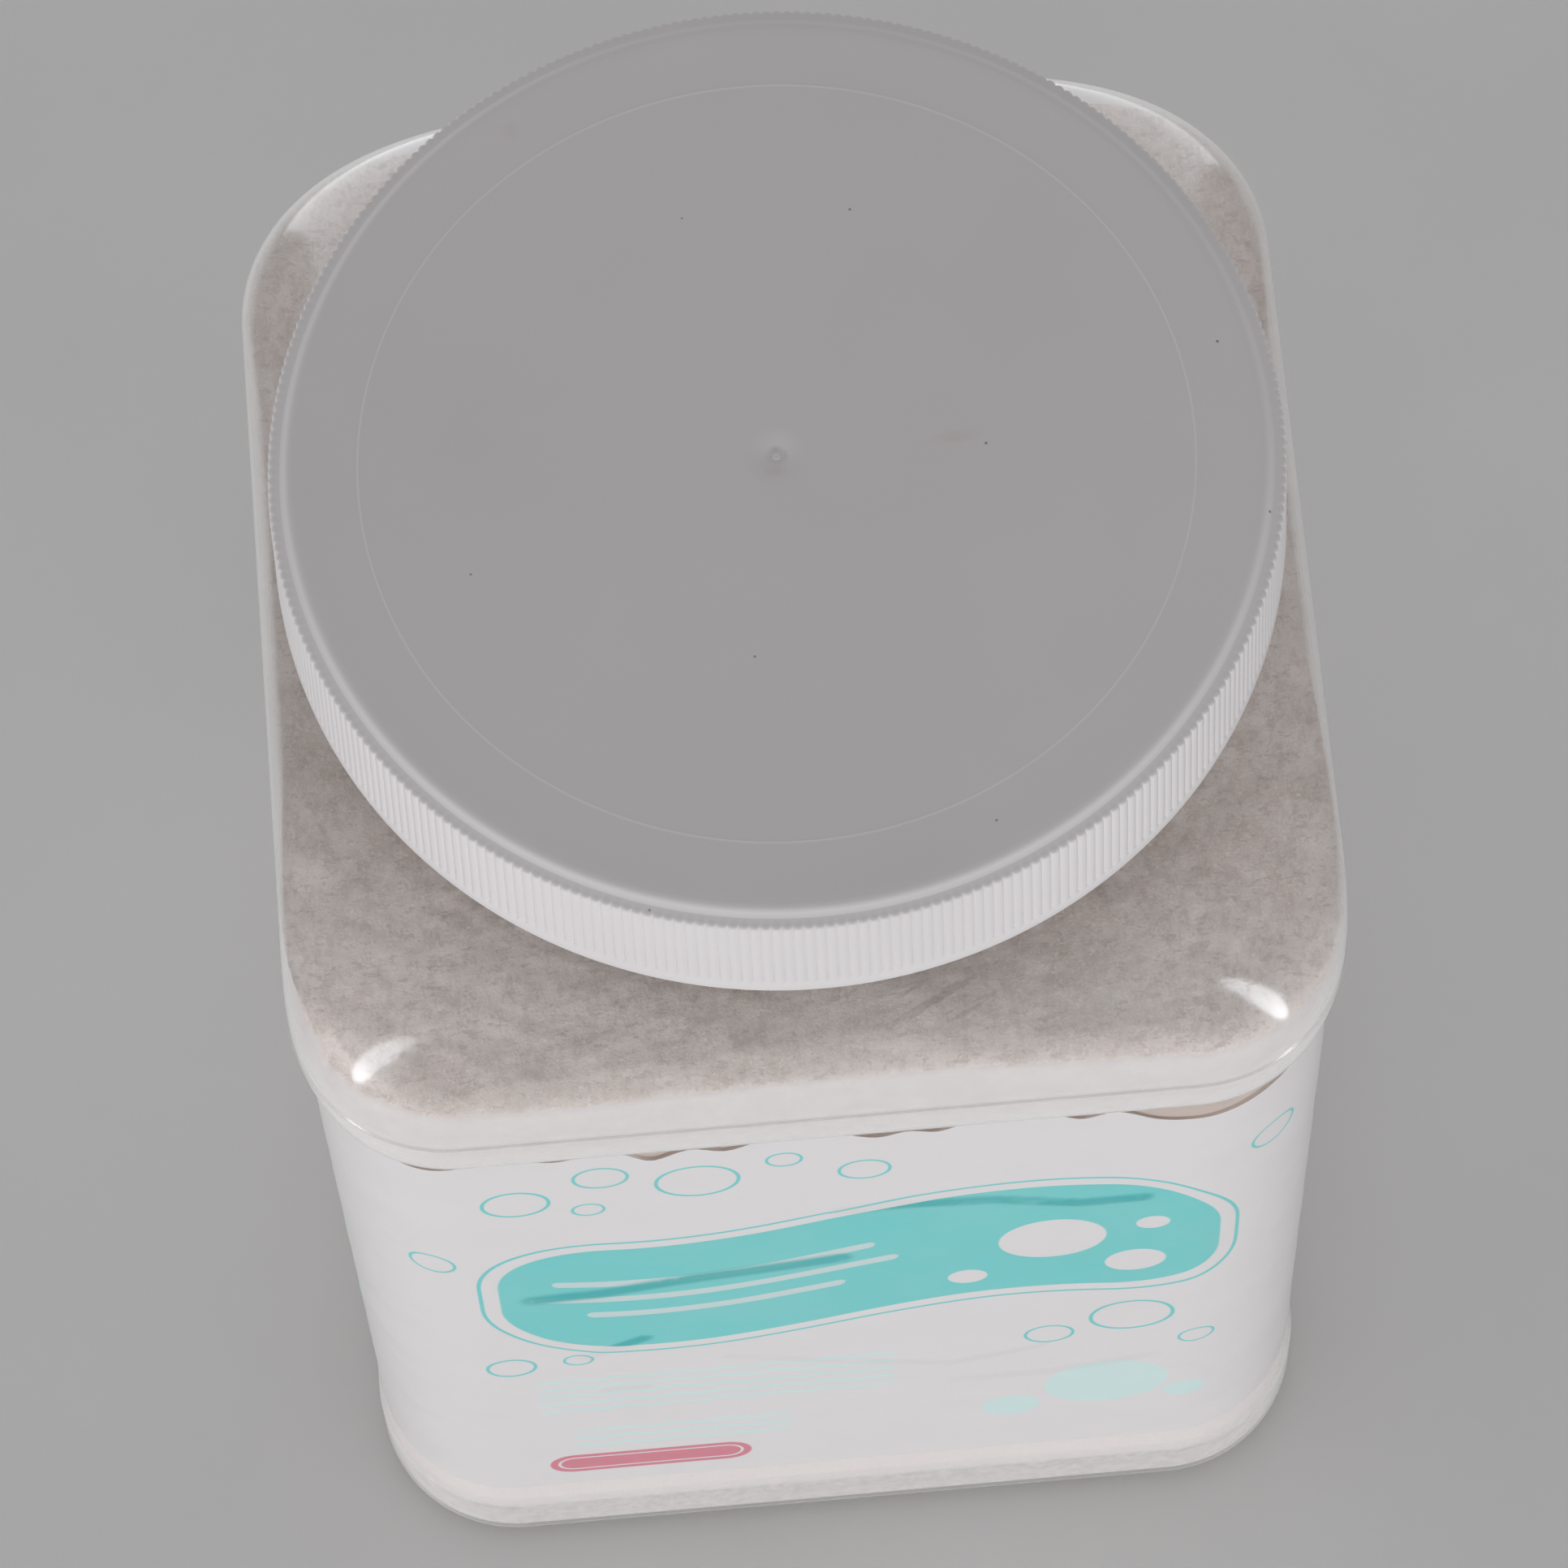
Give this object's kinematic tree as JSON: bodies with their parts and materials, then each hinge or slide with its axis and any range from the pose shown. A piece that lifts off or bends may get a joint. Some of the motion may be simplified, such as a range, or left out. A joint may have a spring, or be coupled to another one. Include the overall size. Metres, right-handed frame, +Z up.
{
  "type": "detergent tub",
  "caption": "Clear rounded-square jar with a domed shoulder, a ribbed screw lid, a wraparound film label and a powder fill.",
  "frame": {"origin": "centre of the flat plane that the jar's foot stands on, under the lid's axis", "axes": "+Z up along the lid's axis; -Y is the label's front; +X is to the right seen from the front"},
  "size_m": [0.1312, 0.1312, 0.2104],
  "materials": {
    "clear_plastic": "clear, glossy",
    "lid_plastic": "fine matte",
    "liner_foam": "matte foam",
    "label_film": "satin printed film",
    "powder": "matte, granular"
  },
  "bodies": {
    "tub": {"jar": "clear_plastic", "label": "label_film", "powder": "powder"},
    "liner": {"liner": "liner_foam"},
    "lid": {"lid": "lid_plastic"}
  },
  "joints": [
    {"name": "lid_lift", "type": "slide", "parent": "tub", "child": "liner", "axis": [0, 0, 1], "range_m": [0, 0.0305]},
    {"name": "lid_turn", "type": "hinge", "parent": "liner", "child": "lid", "pos_m": [0, 0, 0.2074], "axis": [0, 0, 1], "range_deg": [0, 2160]}
  ],
  "couplings": [
    {"joint": "lid_lift", "follows": "lid_turn", "m_per_rad": 0.00080851}
  ]
}
